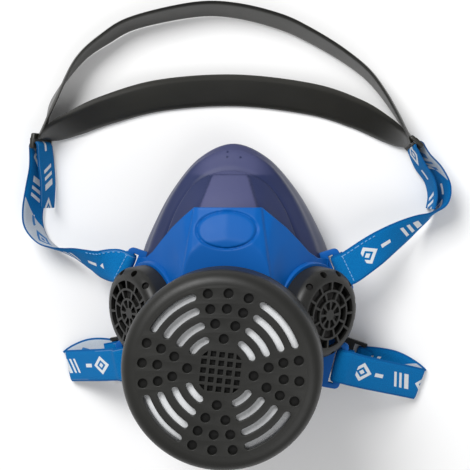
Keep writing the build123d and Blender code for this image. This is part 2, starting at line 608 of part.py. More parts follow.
for side, word in ((1, "left"), (-1, "right")):
    loop, ahead, normal, centre, across = lug_route(LOWER_BAR, LOWER_BAR_TURN, side, 25, 7.0)
    aim = math.radians(LOWER_AIM[word])
    out = Vector(side * math.cos(aim), math.sin(aim), 0)
    square = Vector(-out.Y, out.X, 0) * side
    reach = LOWER_REACH[word]
    ply = [(centre + out * (r * reach) + UP * z, square) for r, z in smooth(LOWER_ROUTE, 2)]
    clip_centre = centre + out * CLIP_BAR[0] + UP * CLIP_BAR[1]
    bend = turn_round(clip_centre, square, -UP, -out, 1.9, 0, 180, 8)
    sewn = [(clip_centre + out * 5.0 + UP * 2.0, square)]
    route = loop + [(centre + normal * LOOP_RADIUS + ahead * 3.0, across)] + ply[:-1] + bend + sewn
    save(band(route, WEB_WIDTH, WEB_THICKNESS), f"lower_strap_{word}")

    frame = Plane(origin=clip_centre, x_dir=-out, z_dir=UP)
    body = Pos(CLIP_LENGTH / 2 + 2.4, 0, -0.2) * Box(CLIP_LENGTH - 4.0, CLIP_WIDTH, 3.0)
    arms = Pos(2.0, 0, -0.2) * (Box(7.0, CLIP_WIDTH, 3.0) - Box(8.0, WEB_WIDTH + 1.0, 4.0))
    rod = Rot(90, 0, 0) * Cylinder(1.0, CLIP_WIDTH - 1)
    clip = body + arms + rod
    if word == "left":
        clip -= Pos(CLIP_LENGTH / 2 + 2.6, 0, 0) * Box(2.6, 11, 6)
    else:
        clip -= Pos(CLIP_LENGTH - 1.4, 0, 0) * Box(2.4, 12, 6) - Pos(CLIP_LENGTH - 1.4, 0, 0) * Box(3, 5, 6)
    save(frame * clip, "neck_clip_eye" if word == "left" else "neck_clip_hook")
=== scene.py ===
import math
from contextlib import contextmanager

import bmesh
import bpy
import numpy as np
from mathutils import Matrix, Vector, noise
from mathutils.bvhtree import BVHTree


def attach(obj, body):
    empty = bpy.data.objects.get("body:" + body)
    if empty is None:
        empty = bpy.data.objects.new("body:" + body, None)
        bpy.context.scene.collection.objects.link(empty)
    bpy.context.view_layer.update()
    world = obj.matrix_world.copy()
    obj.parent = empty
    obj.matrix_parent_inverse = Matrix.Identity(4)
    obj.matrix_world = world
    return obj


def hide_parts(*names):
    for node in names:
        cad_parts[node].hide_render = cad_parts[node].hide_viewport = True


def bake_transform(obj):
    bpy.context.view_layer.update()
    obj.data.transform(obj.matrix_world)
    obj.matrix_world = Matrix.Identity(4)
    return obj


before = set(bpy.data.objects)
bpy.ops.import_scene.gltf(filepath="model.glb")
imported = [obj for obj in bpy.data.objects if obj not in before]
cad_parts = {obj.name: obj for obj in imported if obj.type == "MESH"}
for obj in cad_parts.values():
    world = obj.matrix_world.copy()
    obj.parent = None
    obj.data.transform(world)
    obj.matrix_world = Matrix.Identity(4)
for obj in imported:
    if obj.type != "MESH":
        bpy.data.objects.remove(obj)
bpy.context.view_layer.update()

# Lengths in this script are millimetres in the part's own frame, and MM turns them to metres.
MM = 0.001
UP = Vector((0, 0, 1))

# ---- sizes shared with the CAD
FACE_HALF_WIDTH = 50.5
NOSE_REACH = 99.0
CHIN_REACH = 46.0
WIDEST_Y = 20.0
DOME_TOP = 61.0
FACE_WALL = 3.0
RIM_LIFT_RADIUS = 150.0
CHEEK_FRONT_Y = 40.0
CHEEK_REAR_Y = -6.0
SHELL_THICKNESS = 2.6
NECK_RADIUS = 13.15
CAP_RADIUS = 44.0
CAP_BACK_Z = 71.0
CAP_FRONT_Z = 94.0
CAP_ROUND = 6.5
CAP_WALL = 2.4
PATTERN_TURN = -6.0
VALVE = (46.6, 20.0, 50.0)
VALVE_AXIS = (0.743, -0.10, 0.66)
COVER_RADIUS = 21.0
SEAT_TUBE_RADIUS = 16.15
BAR_RADIUS = 1.5
UPPER_BAR = (51.8, 38.8, 27.0)
UPPER_BAR_TURN = 22.5
LOWER_BAR = (51.0, -5.5, 35.0)
LOWER_BAR_TURN = -14.0
WEB_WIDTH = 16.0
WEB_THICKNESS = 1.2
STRIP_WIDTH = 17.0
STRIP_THICKNESS = 1.6
LOOP_RADIUS = BAR_RADIUS + 0.3 + WEB_THICKNESS / 2


# ---- mesh helpers
def linked(name, data):
    """A new object in the scene that holds some data."""
    obj = bpy.data.objects.new(name, data)
    bpy.context.scene.collection.objects.link(obj)
    return obj


@contextmanager
def editing(mesh):
    """A mesh as a bmesh, written back at the end."""
    bm = bmesh.new()
    bm.from_mesh(mesh)
    yield bm
    bm.to_mesh(mesh)
    bm.free()


def evaluated_mesh(obj):
    """The mesh that an object's modifiers or curve settings make."""
    bpy.context.view_layer.update()
    graph = bpy.context.evaluated_depsgraph_get()
    return bpy.data.meshes.new_from_object(obj.evaluated_get(graph))


def new_object(name, verts, faces, material):
    """A smooth-shaded mesh object from points in millimetres."""
    mesh = bpy.data.meshes.new(name)
    mesh.from_pydata([tuple(Vector(v) * MM) for v in verts], [], faces)
    with editing(mesh) as bm:
        bmesh.ops.recalc_face_normals(bm, faces=bm.faces)
    mesh.polygons.foreach_set("use_smooth", [True] * len(mesh.polygons))
    mesh.materials.append(material)
    return linked(name, mesh)


def apply_modifiers(obj):
    """Bakes an object's modifiers into its mesh."""
    mesh = evaluated_mesh(obj)
    obj.modifiers.clear()
    obj.data = mesh
    return obj


def cut(obj, cutters):
    """Cuts closed meshes out of an object, then removes them."""
    for cutter in cutters:
        modifier = obj.modifiers.new("cut", "BOOLEAN")
        modifier.operation = "DIFFERENCE"
        modifier.solver = "EXACT"
        modifier.object = cutter
        apply_modifiers(obj)
        bpy.data.objects.remove(cutter)
    return obj


def bevel(obj, width, segments, angle):
    """Rounds the edges sharper than an angle in degrees."""
    modifier = obj.modifiers.new("bevel", "BEVEL")
    modifier.width = width * MM
    modifier.segments = segments
    modifier.limit_method = "ANGLE"
    modifier.angle_limit = math.radians(angle)
    return apply_modifiers(obj)


def join(name, objects):
    """Joins objects into the first one's mesh."""
    bm = bmesh.new()
    materials = []
    for obj in objects:
        start = len(bm.faces)
        bm.from_mesh(obj.data)
        bm.faces.ensure_lookup_table()
        for material in obj.data.materials:
            if material not in materials:
                materials.append(material)
        for face in bm.faces[start:]:
            face.material_index = materials.index(obj.data.materials[face.material_index])
    mesh = bpy.data.meshes.new(name)
    bm.to_mesh(mesh)
    bm.free()
    for material in materials:
        mesh.materials.append(material)
    for obj in objects:
        bpy.data.objects.remove(obj)
    return linked(name, mesh)


def lathe(name, profile, material, matrix=None, segments=96):
    """Turns a closed (radius, height) profile round Z; points on the axis close the ends."""
    verts = []
    rows = []
    for radius, height in profile:
        if radius < 1e-6:
            rows.append([len(verts)] * segments)
            verts.append((0, 0, height))
            continue
        rows.append(list(range(len(verts), len(verts) + segments)))
        for k in range(segments):
            angle = 2 * math.pi * k / segments
            verts.append((radius * math.cos(angle), radius * math.sin(angle), height))
    faces = []
    for a, b in zip(rows, rows[1:] + rows[:1]):
        for k in range(segments):
            n = (k + 1) % segments
            corners = list(dict.fromkeys((a[k], a[n], b[n], b[k])))
            if len(corners) > 2:
                faces.append(corners)
    if matrix:
        verts = [matrix @ Vector(v) for v in verts]
    return new_object(name, verts, faces, material)


def ring_faces(rings, count, closed=False):
    """Quads between neighbouring rings of count points each; closed joins the last to the first."""
    faces = []
    for i in range(rings if closed else rings - 1):
        a = i * count
        b = (i + 1) % rings * count
        for k in range(count):
            n = (k + 1) % count
            faces.append((a + k, a + n, b + n, b + k))
    return faces


def arc(cx, cy, radius, start, stop, count):
    """Points on an arc from start to stop, in degrees."""
    points = []
    for k in range(count + 1):
        angle = math.radians(start + (stop - start) * k / count)
        points.append((cx + radius * math.cos(angle), cy + radius * math.sin(angle)))
    return points


def plate(name, outlines, low, high, edge, material, matrix=None):
    """A flat plate from closed outlines, the first outside and the rest holes, with round edges."""
    curve = bpy.data.curves.new(name, "CURVE")
    curve.dimensions = "2D"
    curve.fill_mode = "BOTH"
    curve.extrude = (high - low) / 2 * MM - edge * MM
    curve.bevel_depth = edge * MM
    curve.bevel_resolution = 2
    curve.offset = -edge * MM
    for outline in outlines:
        spline = curve.splines.new("POLY")
        spline.points.add(len(outline) - 1)
        for point, (x, y) in zip(spline.points, outline):
            point.co = (x * MM, y * MM, 0, 1)
        spline.use_cyclic_u = True
    holder = linked(name, curve)
    mesh = evaluated_mesh(holder)
    bpy.data.objects.remove(holder)
    place = Matrix.Translation((0, 0, (low + high) / 2 * MM))
    if matrix:
        scaled = matrix.copy()
        scaled.translation = matrix.translation * MM
        place = scaled @ place
    mesh.transform(place)
    with editing(mesh) as bm:
        bmesh.ops.remove_doubles(bm, verts=bm.verts, dist=1e-6)
        bmesh.ops.recalc_face_normals(bm, faces=bm.faces)
    mesh.materials.clear()
    mesh.materials.append(material)
    return linked(name, mesh)


def smooth_by_angle(obj, degrees):
    """Smooth shading, with creases sharper than an angle kept."""
    with editing(obj.data) as bm:
        for face in bm.faces:
            face.smooth = True
        for edge in bm.edges:
            sharp = len(edge.link_faces) == 2 and edge.calc_face_angle(0) > math.radians(degrees)
            edge.smooth = not sharp
    return obj


# ---- materials
class Shader:
    """A small helper that builds one material's nodes."""

    def __init__(self, name):
        self.material = bpy.data.materials.new(name)
        self.material.use_nodes = True
        self.tree = self.material.node_tree
        self.tree.nodes.clear()
        output = self.tree.nodes.new("ShaderNodeOutputMaterial")
        self.shader = self.tree.nodes.new("ShaderNodeBsdfPrincipled")
        self.tree.links.new(self.shader.outputs[0], output.inputs[0])

    def set(self, **values):
        for key, value in values.items():
            self.shader.inputs[key.replace("_", " ")].default_value = value

    def node(self, kind, inputs=None, **settings):
        """A node whose inputs are each linked to a socket or set to a plain value."""
        made = self.tree.nodes.new("ShaderNode" + kind)
        for key, value in settings.items():
            setattr(made, key, value)
        for key, value in (inputs or {}).items():
            if isinstance(value, bpy.types.NodeSocket):
                self.tree.links.new(value, made.inputs[key])
            else:
                made.inputs[key].default_value = value
        return made

    def place(self):
        """Object-space coordinates, in metres."""
        return self.node("TexCoord").outputs["Object"]

    def attribute(self, name):
        """A number that the mesh holds at each point."""
        return self.node("Attribute", attribute_name=name).outputs["Fac"]

    def between(self, value, low, high, to_low=0.0, to_high=1.0):
        """Maps a value from low..high to to_low..to_high."""
        made = self.node("MapRange", {"Value": value, "From Min": low, "From Max": high,
                                      "To Min": to_low, "To Max": to_high})
        return made.outputs[0]

    def noise(self, vector, scale, detail, rough=0.55, distortion=0.0):
        made = self.node("TexNoise", {"Vector": vector, "Scale": scale, "Detail": detail,
                                      "Roughness": rough, "Distortion": distortion})
        return made.outputs["Fac"]

    def surface(self, broad_scale, grain_size, scuff_scale):
        """The three noises of a moulded surface: colour drift, fine grain and scuffs."""
        place = self.place()
        return (self.noise(place, broad_scale, 3.0), self.noise(place, grain_size, 2.0),
                self.noise(place, scuff_scale, 6.0, 0.7))

    def ramp(self, fac, *stops):
        """A colour ramp through (position, (red, green, blue)) stops."""
        made = self.node("ValToRGB", {"Fac": fac})
        for element, (position, colour) in zip(made.color_ramp.elements, stops):
            element.position = position
            element.color = (*colour, 1)
        return made.outputs["Color"]

    def math(self, operation, a, b=0.0, c=0.0):
        return self.node("Math", {0: a, 1: b, 2: c}, operation=operation).outputs[0]

    def mix(self, fac, a, b):
        """Mixes two colours, each a socket or a plain (red, green, blue)."""
        a, b = (c if isinstance(c, bpy.types.NodeSocket) else (*c, 1) for c in (a, b))
        return self.node("Mix", {0: fac, 6: a, 7: b}, data_type="RGBA").outputs[2]

    def colour(self, value):
        self.tree.links.new(value, self.shader.inputs["Base Color"])

    def rough(self, fac, low, high):
        """Roughness from low to high as fac goes from 0 to 1."""
        value = self.between(fac, 0.0, 1.0, low, high)
        self.tree.links.new(value, self.shader.inputs["Roughness"])

    def bump(self, *layers):
        """Bump from (height, strength, distance in millimetres) layers."""
        normal = None
        for height, strength, distance in layers:
            inputs = {"Height": height, "Strength": strength, "Distance": distance * MM}
            if normal:
                inputs["Normal"] = normal
            normal = self.node("Bump", inputs).outputs[0]
        self.tree.links.new(normal, self.shader.inputs["Normal"])


def moulded(name, dark, light, low_rough, high_rough, grain, grain_size=900, specular=0.5):
    """Moulded plastic or rubber: broad colour drift, fine grain and scuffed roughness."""
    s = Shader(name)
    broad, fine, scuff = s.surface(18.0, grain_size, 160.0)
    s.colour(s.ramp(broad, (0.3, dark), (0.7, light)))
    s.rough(scuff, low_rough, high_rough)
    s.bump((fine, grain, 0.06), (scuff, grain * 0.5, 0.05))
    s.set(Specular_IOR_Level=specular)
    return s.material


def facepiece_rubber():
    """Navy rubber: rougher, with painted light, on the raised nose panel and bridge; smoother, with painted
    shade, beside them.
    """
    s = Shader("facepiece_rubber")
    broad, fine, scuff = s.surface(22.0, 900.0, 150.0)
    # the satin attribute marks the top-facing nose panel and bridge: a rougher finish there, and a lighter
    # colour that is painted light; the sides get a darker colour that is painted shade
    satin = s.attribute("satin")
    side_colour_painted_shade = s.ramp(broad, (0.3, (0.012, 0.019, 0.066)), (0.7, (0.020, 0.029, 0.092)))
    panel_colour_painted_light = s.ramp(broad, (0.3, (0.054, 0.060, 0.142)), (0.7, (0.068, 0.074, 0.168)))
    s.colour(s.mix(satin, side_colour_painted_shade, panel_colour_painted_light))
    s.rough(s.math("MULTIPLY_ADD", satin, 0.5, s.math("MULTIPLY", scuff, 0.5)), 0.34, 0.60)
    s.bump((fine, 0.2, 0.06), (scuff, 0.1, 0.05))
    s.set(Specular_IOR_Level=0.30)
    return s.material


RUBBER = facepiece_rubber()
SHELL_BLUE = moulded("shell_blue", (0.000, 0.084, 0.340), (0.000, 0.098, 0.380), 0.38, 0.50, 0.10,
                     specular=0.16)
BLACK = moulded("black_plastic", (0.011, 0.011, 0.010), (0.018, 0.018, 0.016), 0.34, 0.52, 0.55,
                grain_size=1300, specular=0.32)
# the cap's own black, darkened further as painted shade for the recesses behind its holes
PIT_PAINTED_SHADE = moulded("pit_painted_shade", (0.004, 0.004, 0.004), (0.007, 0.007, 0.006), 0.6, 0.7, 0.2,
                    specular=0.2)
BLACK_COVER = moulded("cover_plastic", (0.010, 0.010, 0.009), (0.017, 0.017, 0.016), 0.36, 0.48, 0.2,
                      specular=0.4)
GREY = moulded("grey_plastic", (0.20, 0.205, 0.21), (0.26, 0.265, 0.27), 0.45, 0.6, 0.15)
VALVE_RUBBER = moulded("valve_rubber", (0.50, 0.46, 0.36), (0.58, 0.54, 0.44), 0.4, 0.5, 0.12)
FLAP_RUBBER = moulded("flap_rubber", (0.022, 0.020, 0.019), (0.034, 0.031, 0.029), 0.36, 0.48, 0.1)
STRIP = moulded("cradle_strip", (0.012, 0.012, 0.009), (0.020, 0.019, 0.015), 0.30, 0.42, 0.3)


def filter_media():
    """Pale fibrous pad: felted strands over soft blotches."""
    s = Shader("filter_media")
    place = s.place()
    blotch = s.noise(place, 90.0, 3.0)
    fibre = s.noise(place, 700.0, 6.0, 0.75, 2.5)
    s.colour(s.mix(fibre, s.ramp(blotch, (0.35, (0.52, 0.54, 0.56)), (0.7, (0.66, 0.67, 0.68))),
                   (0.78, 0.79, 0.80)))
    s.bump((fibre, 0.7, 0.25), (blotch, 0.4, 0.4))
    s.set(Roughness=0.95, Sheen_Weight=0.3)
    return s.material


MEDIA = filter_media()


def webbing():
    """Woven strap. UV is millimetres along and across the strap.

    The mesh says where the good face is ("front") and where the motif is woven ("woven").
    """
    s = Shader("webbing")
    uv = s.node("UVMap", uv_map="strap").outputs[0]
    parts = s.node("SeparateXYZ", {"Vector": uv})
    along = parts.outputs[0]
    across = parts.outputs[1]

    def inside(value, low, high, soft=0.12):
        """1 between low and high, fading to 0 at both edges."""
        rise = s.between(value, low - soft, low + soft)
        fall = s.between(value, high - soft, high + soft, 1.0, 0.0)
        return s.math("MULTIPLY", rise, fall)

    # a generic woven motif: slanted bars, a lozenge and a dash, repeated
    motif_length = 43.0
    cell = s.math("FLOORED_MODULO", along, motif_length)
    slant = s.math("MULTIPLY_ADD", across, 0.45, cell)
    bars = inside(slant, 5.0, 6.7)
    for low, high in ((8.6, 10.3), (12.2, 15.2)):
        bars = s.math("MAXIMUM", bars, inside(slant, low, high))
    bars = s.math("MULTIPLY", bars, inside(across, -3.6, 3.6))
    from_middle = s.math("ABSOLUTE", s.math("SUBTRACT", cell, 26.0))
    lozenge = s.math("ADD", s.math("MULTIPLY", from_middle, 0.75), s.math("ABSOLUTE", across))
    ring = inside(lozenge, 2.6, 4.6)
    heart = s.between(lozenge, 1.2, 1.4, 1.0, 0.0)
    dash = s.math("MULTIPLY", inside(across, -0.9, 0.9), inside(cell, 34.5, 40.0))
    motif = s.math("MAXIMUM", s.math("MAXIMUM", bars, ring), s.math("MAXIMUM", heart, dash))
    motif = s.math("MULTIPLY", motif, s.attribute("woven"))

    # weave: rows of picks across the strap and warp threads along it
    pick_pitch = 0.62
    warp_pitch = 0.55
    pick = s.math("SINE", s.math("MULTIPLY", along, 2 * math.pi / pick_pitch))
    warp = s.math("SINE", s.math("MULTIPLY", across, 2 * math.pi / warp_pitch))
    weave = s.math("MULTIPLY", pick, warp)
    thread = s.noise(uv, 1.9, 5.0, 0.7)
    frayed = s.math("ADD", motif, s.math("MULTIPLY", weave, 0.12))
    light = s.between(frayed, 0.40, 0.60)
    blue = s.ramp(thread, (0.35, (0.000, 0.105, 0.320)), (0.65, (0.002, 0.180, 0.470)))
    white = s.ramp(thread, (0.3, (0.60, 0.64, 0.68)), (0.7, (0.76, 0.78, 0.79)))
    grey = s.ramp(thread, (0.3, (0.40, 0.46, 0.53)), (0.7, (0.56, 0.60, 0.64)))
    front_colour = s.mix(light, blue, white)
    # the back is pale where the front is blue, in blocks, with blue selvedges
    edge = inside(s.math("ABSOLUTE", across), 7.1, 9.0, 0.1)
    back_colour = s.mix(s.math("MAXIMUM", s.math("MULTIPLY", light, 0.9), edge), grey, blue)
    block_length = 62.0
    slanted = s.math("MULTIPLY_ADD", across, 1.2, along)
    block = inside(s.math("FLOORED_MODULO", slanted, block_length), 2.0, 30.0)
    back_colour = s.mix(block, back_colour, front_colour)
    face = s.mix(s.attribute("front"), back_colour, front_colour)
    s.colour(s.mix(s.math("MULTIPLY", edge, 0.45), face, (0.0, 0.045, 0.20)))
    s.bump((weave, 0.35, 0.12), (light, 0.4, 0.12), (thread, 0.2, 0.1))
    s.set(Roughness=0.85, Sheen_Weight=0.02, Sheen_Roughness=0.5, Specular_IOR_Level=0.1)
    return s.material


WEBBING = webbing()


def thread_material():
    """Pale blue sewing thread with its twist."""
    s = Shader("stitch_thread")
    twist = s.noise(s.place(), 2500.0, 2.0)
    s.colour(s.ramp(twist, (0.3, (0.10, 0.30, 0.60)), (0.7, (0.22, 0.45, 0.72))))
    s.bump((twist, 0.4, 0.05))
    s.set(Roughness=0.7)
    return s.material


THREAD = thread_material()


# ---- facepiece form
# Outline shares of half width and reach from the widest line: a pointed and a blunt nose, and the chin.
POINTED = ((0, 1), (0.32, 0.915), (0.59, 0.72), (0.79, 0.495), (0.91, 0.30), (1, 0))
BLUNT = ((0, 1), (0.50, 0.955), (0.74, 0.81), (0.88, 0.58), (0.96, 0.33), (1, 0))
CHIN = ((0.95, -0.35), (0.78, -0.66), (0.45, -0.90), (0, -1))
# Height, then the shares of half width, nose reach and chin reach, then how blunt the nose is.
SECTIONS = np.array((
    (-1.0, 0.965, 0.965, 0.955, 0.0),
    (14.0, 1.0, 1.0, 1.0, 0.0),
    (28.0, 0.90, 0.97, 0.935, 0.15),
    (42.0, 0.69, 0.85, 0.80, 0.5),
    (54.0, 0.47, 0.69, 0.63, 1.0),
    (DOME_TOP, 0.40, 0.53, 0.47, 1.0),
))
NOSE_PANEL_TOP = 84.0


def catmull(p0, p1, p2, p3, t):
    """A point on the smooth curve from p1 to p2."""
    return p1 + 0.5 * t * (p2 - p0 + t * (2 * p0 - 5 * p1 + 4 * p2 - p3
                                          + t * (3 * (p1 - p2) + p3 - p0)))


def section_at(z):
    """Half width, nose reach, chin reach and bluntness shares at a height or heights."""
    heights = SECTIONS[:, 0]
    z = np.clip(z, heights[0], heights[-1])
    i = np.clip(np.searchsorted(heights, z, side="right") - 1, 0, len(heights) - 2)
    slopes = np.gradient(SECTIONS[:, 1:], heights, axis=0)
    h = heights[i + 1] - heights[i]
    t = (z - heights[i]) / h
    weights = (2 * t**3 - 3 * t**2 + 1, (t**3 - 2 * t**2 + t) * h, 3 * t**2 - 2 * t**3, (t**3 - t**2) * h)
    rows = (SECTIONS[i, 1:], slopes[i], SECTIONS[i + 1, 1:], slopes[i + 1])
    blended = sum(row * np.asarray(weight)[..., None] for row, weight in zip(rows, weights))
    return np.moveaxis(blended, -1, 0)


def outline(z, grow, count=320):
    """A closed outline at height z, as count (x, y) points, evenly spread round the form."""
    width_share, nose_share, chin_share, blunt = section_at(z)
    width = FACE_HALF_WIDTH * width_share + grow
    nose = NOSE_REACH * nose_share + grow - WIDEST_Y
    chin = CHIN_REACH * chin_share + grow + WIDEST_Y
    half = []
    for (x0, y0), (x1, y1) in zip(POINTED, BLUNT):
        half.append((width * (x0 + (x1 - x0) * blunt), WIDEST_Y + nose * (y0 + (y1 - y0) * blunt)))
    for x, y in CHIN:
        half.append((width * x, WIDEST_Y + chin * y))
    points = np.array(half + [(-x, y) for x, y in reversed(half[1:-1])])
    total = len(points)
    between = 24
    fine = []
    for i in range(total):
        for k in range(between):
            fine.append(catmull(points[i - 1], points[i], points[(i + 1) % total],
                                points[(i + 2) % total], k / between))
    fine = np.array(fine + [fine[0]])
    steps = np.concatenate([[0], np.cumsum(np.linalg.norm(np.diff(fine, axis=0), axis=1))])
    wanted = np.linspace(0, steps[-1], count, endpoint=False)
    return np.stack([np.interp(wanted, steps, fine[:, 0]), np.interp(wanted, steps, fine[:, 1])], 1)


def seal_lift(y):
    """How far the seal rises off the table towards the nose and the chin."""
    reach = np.where(y > CHEEK_FRONT_Y, y - CHEEK_FRONT_Y, np.where(y < CHEEK_REAR_Y, CHEEK_REAR_Y - y, 0))
    return RIM_LIFT_RADIUS - np.sqrt(RIM_LIFT_RADIUS**2 - reach**2)


def step(value, low, high):
    """Smooth step from 0 at low to 1 at high."""
    t = np.clip((value - low) / (high - low), 0, 1)
    return t * t * (3 - 2 * t)


def nose_panel(x, y):
    """Raised trapezoid on the nose above the shell."""
    below_top = NOSE_PANEL_TOP - y
    half = 8.2 + below_top * 0.34
    return step(half - np.abs(x), -0.35, 0.35) * step(below_top, -0.5, 0.5) * step(y - 40.0, 0, 1)


def crease(z):
    """Outward offset of the skin by height: a sharp valley above the rolled flank."""
    valley = -1.3 * np.exp(-((z - 39.5) / 1.0) ** 2)
    shoulder = 0.9 * step(z, 38.9, 40.2) * step(48 - z, 0, 7)
    return valley + 1.3 * np.exp(-((z - 32.0) / 4.5) ** 2) + shoulder


def make_facepiece():
    """Closed rubber form: outside, rolled seal with its inner lip, and inside."""
    outer = np.concatenate([np.linspace(60.9, 44, 40), np.linspace(43.6, 22, 56),
                            np.linspace(20.5, 3.0, 10)])
    lip = ((1.2, -0.5), (0.25, -1.6), (0.1, -3.2), (0.5, -6.0), (1.6, -9.0), (3.2, -11.6), (4.0, -12.2),
           (4.3, -11.4), (3.4, -8.8), (3.0, -6.2), (4.2, -4.2), (7.0, -3.1))
    levels = [("outer", z, 0.0) for z in outer]
    levels += [("lip", z, grow) for z, grow in lip]
    levels += [("inner", z, -FACE_WALL) for z in np.linspace(10, 57.9, 20)]
    rows = []
    for part, z, grow in levels:
        source = z * DOME_TOP / (DOME_TOP - FACE_WALL) if part == "inner" else z
        groove = float(crease(z)) if part == "outer" else 0.0
        points = outline(source, grow + groove)
        fade = 1 - step(z, 4, 44)
        height = z + seal_lift(points[:, 1]) * fade
        if part == "outer":
            raised = nose_panel(points[:, 0], points[:, 1]) * step(z, 38, 40)
            height = height + 0.9 * raised
            points[:, 1] += 0.7 * raised
        rows.append(np.column_stack([points, height]))
    count = len(rows[0])
    angles = np.arctan2(rows[0][:, 1], rows[0][:, 0])
    circle = np.column_stack([NECK_RADIUS * np.cos(angles), NECK_RADIUS * np.sin(angles)])
    for start, target in ((0, DOME_TOP), (-1, DOME_TOP - FACE_WALL)):
        ring = np.column_stack([circle, np.full(count, target)])
        middle = (rows[start] + ring) / 2
        middle[:, 2] = target
        rows = [ring, middle] + rows if start == 0 else rows + [middle, ring]
    verts = [tuple(p) for row in rows for p in row]
    body = new_object("facepiece_body", verts, ring_faces(len(rows), count, closed=True), RUBBER)
    # the satin attribute marks the top-facing nose panel and bridge, where the rubber's material has painted
    # light; the rest of the rubber has painted shade
    satin = body.data.attributes.new("satin", "FLOAT", "POINT")
    points = np.array(verts)
    panel = nose_panel(points[:, 0], points[:, 1])
    bridge = step(16.0 - np.abs(points[:, 0]), -7, 7) * step(points[:, 1] - 84.2, -0.6, 0.6)
    satin.data.foreach_set("value", np.clip(panel + bridge * 0.9, 0, 1))
    return body


def valve_matrix(side):
    """Frame at the middle of a grille, its Z along the valve's axis."""
    axis = Vector((side * VALVE_AXIS[0], VALVE_AXIS[1], VALVE_AXIS[2])).normalized()
    across = Vector((0, 1, 0)).cross(axis).normalized()
    up = axis.cross(across)
    turn = Matrix((across, up, axis)).transposed().to_4x4()
    turn.translation = Vector((side * VALVE[0], VALVE[1], VALVE[2]))
    return turn


def tube_cutter(side, low, high, radius):
    return lathe("cutter", [(0, low), (radius, low), (radius, high), (0, high)], RUBBER,
                 valve_matrix(side), 64)


def moulding_pips(body):
    """Three small ejector marks standing on the bridge of the nose."""
    tree = BVHTree.FromPolygons([v.co / MM for v in body.data.vertices],
                                [tuple(f.vertices) for f in body.data.polygons])
    pips = []
    for x, y in ((-2.0, 95.0), (-2.0, 92.6), (4.2, 92.4)):
        place, normal, _, _ = tree.ray_cast(Vector((x, y, 120)), Vector((0, 0, -1)))
        verts, faces = capsule(place, normal, 0.55, 0.28)
        pips.append(new_object("pip", verts, faces, RUBBER))
    return pips


def capsule(middle, along, radius, half_length, sides=8):
    """Points and faces of one short rod with round ends, along a direction."""
    side = along.orthogonal().normalized()
    other = along.cross(side)
    rings = ((-1.0, 0.45), (-0.8, 0.9), (0.0, 1.0), (0.8, 0.9), (1.0, 0.45))
    verts = []
    for reach, share in rings:
        for k in range(sides):
            angle = 2 * math.pi * k / sides
            spoke = side * math.cos(angle) + other * math.sin(angle)
            verts.append(middle + along * (half_length * reach) + spoke * (radius * share))
    faces = ring_faces(len(rings), sides)
    faces.append(tuple(range(sides - 1, -1, -1)))
    faces.append(tuple(range(len(verts) - sides, len(verts))))
    return verts, faces


facepiece = make_facepiece()
cut(facepiece, [tube_cutter(side, -34, -6, SEAT_TUBE_RADIUS) for side in (-1, 1)])
facepiece = join("facepiece_skin", [facepiece] + moulding_pips(facepiece))
smooth_by_angle(facepiece, 50)
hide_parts("facepiece")
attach(facepiece, "mask")


# ---- front shell
def dome_height(x, y, grow):
    """Height of the rubber's outer form, grown by grow, over points, found by halving."""
    low = np.full(x.shape, 8.0)
    high = np.full(x.shape, DOME_TOP)
    pointed = np.array(POINTED[::-1])
    blunted = np.array(BLUNT[::-1])
    chin = np.array([(0, 1)] + [(-b, a) for a, b in CHIN])
    reached = np.linspace(0, 1, 41)
    chin_width = np.interp(reached, chin[:, 0], chin[:, 1])
    pointed_width = np.interp(reached, pointed[:, 1], pointed[:, 0])
    blunt_width = np.interp(reached, blunted[:, 1], blunted[:, 0])
    for _ in range(20):
        z = (low + high) / 2
        width_share, nose_share, chin_share, blunt = section_at(z)
        nose = NOSE_REACH * nose_share - WIDEST_Y + grow
        back = CHIN_REACH * chin_share + WIDEST_Y + grow
        u = np.abs(y - WIDEST_Y) / np.where(y >= WIDEST_Y, nose, back)
        front = (np.interp(u, reached, pointed_width) * (1 - blunt)
                 + np.interp(u, reached, blunt_width) * blunt)
        share = np.where(y >= WIDEST_Y, front, np.interp(u, reached, chin_width))
        half = np.where(u < 1, (FACE_HALF_WIDTH * width_share + grow) * share, -1)
        inside = np.abs(x) < half
        low = np.where(inside, z, low)
        high = np.where(inside, high, z)
    return low


# Top edge of the shell over one half: a flat top, a hollow shoulder and the wing of the lug.
SHELL_HALF = 45.5
SHELL_FLAT = 15.5
SHELL_TOP_Y = 69.5
SHELL_TOP = ((0, SHELL_TOP_Y), (SHELL_FLAT, SHELL_TOP_Y), (20.3, 65.5), (26.4, 60.0), (32.0, 53.8),
             (36.7, 48.2), (40.5, 45.2), (SHELL_HALF, 44.4))
BADGE_Y = 59.5
BADGE_HALF = (13.6, 8.2)


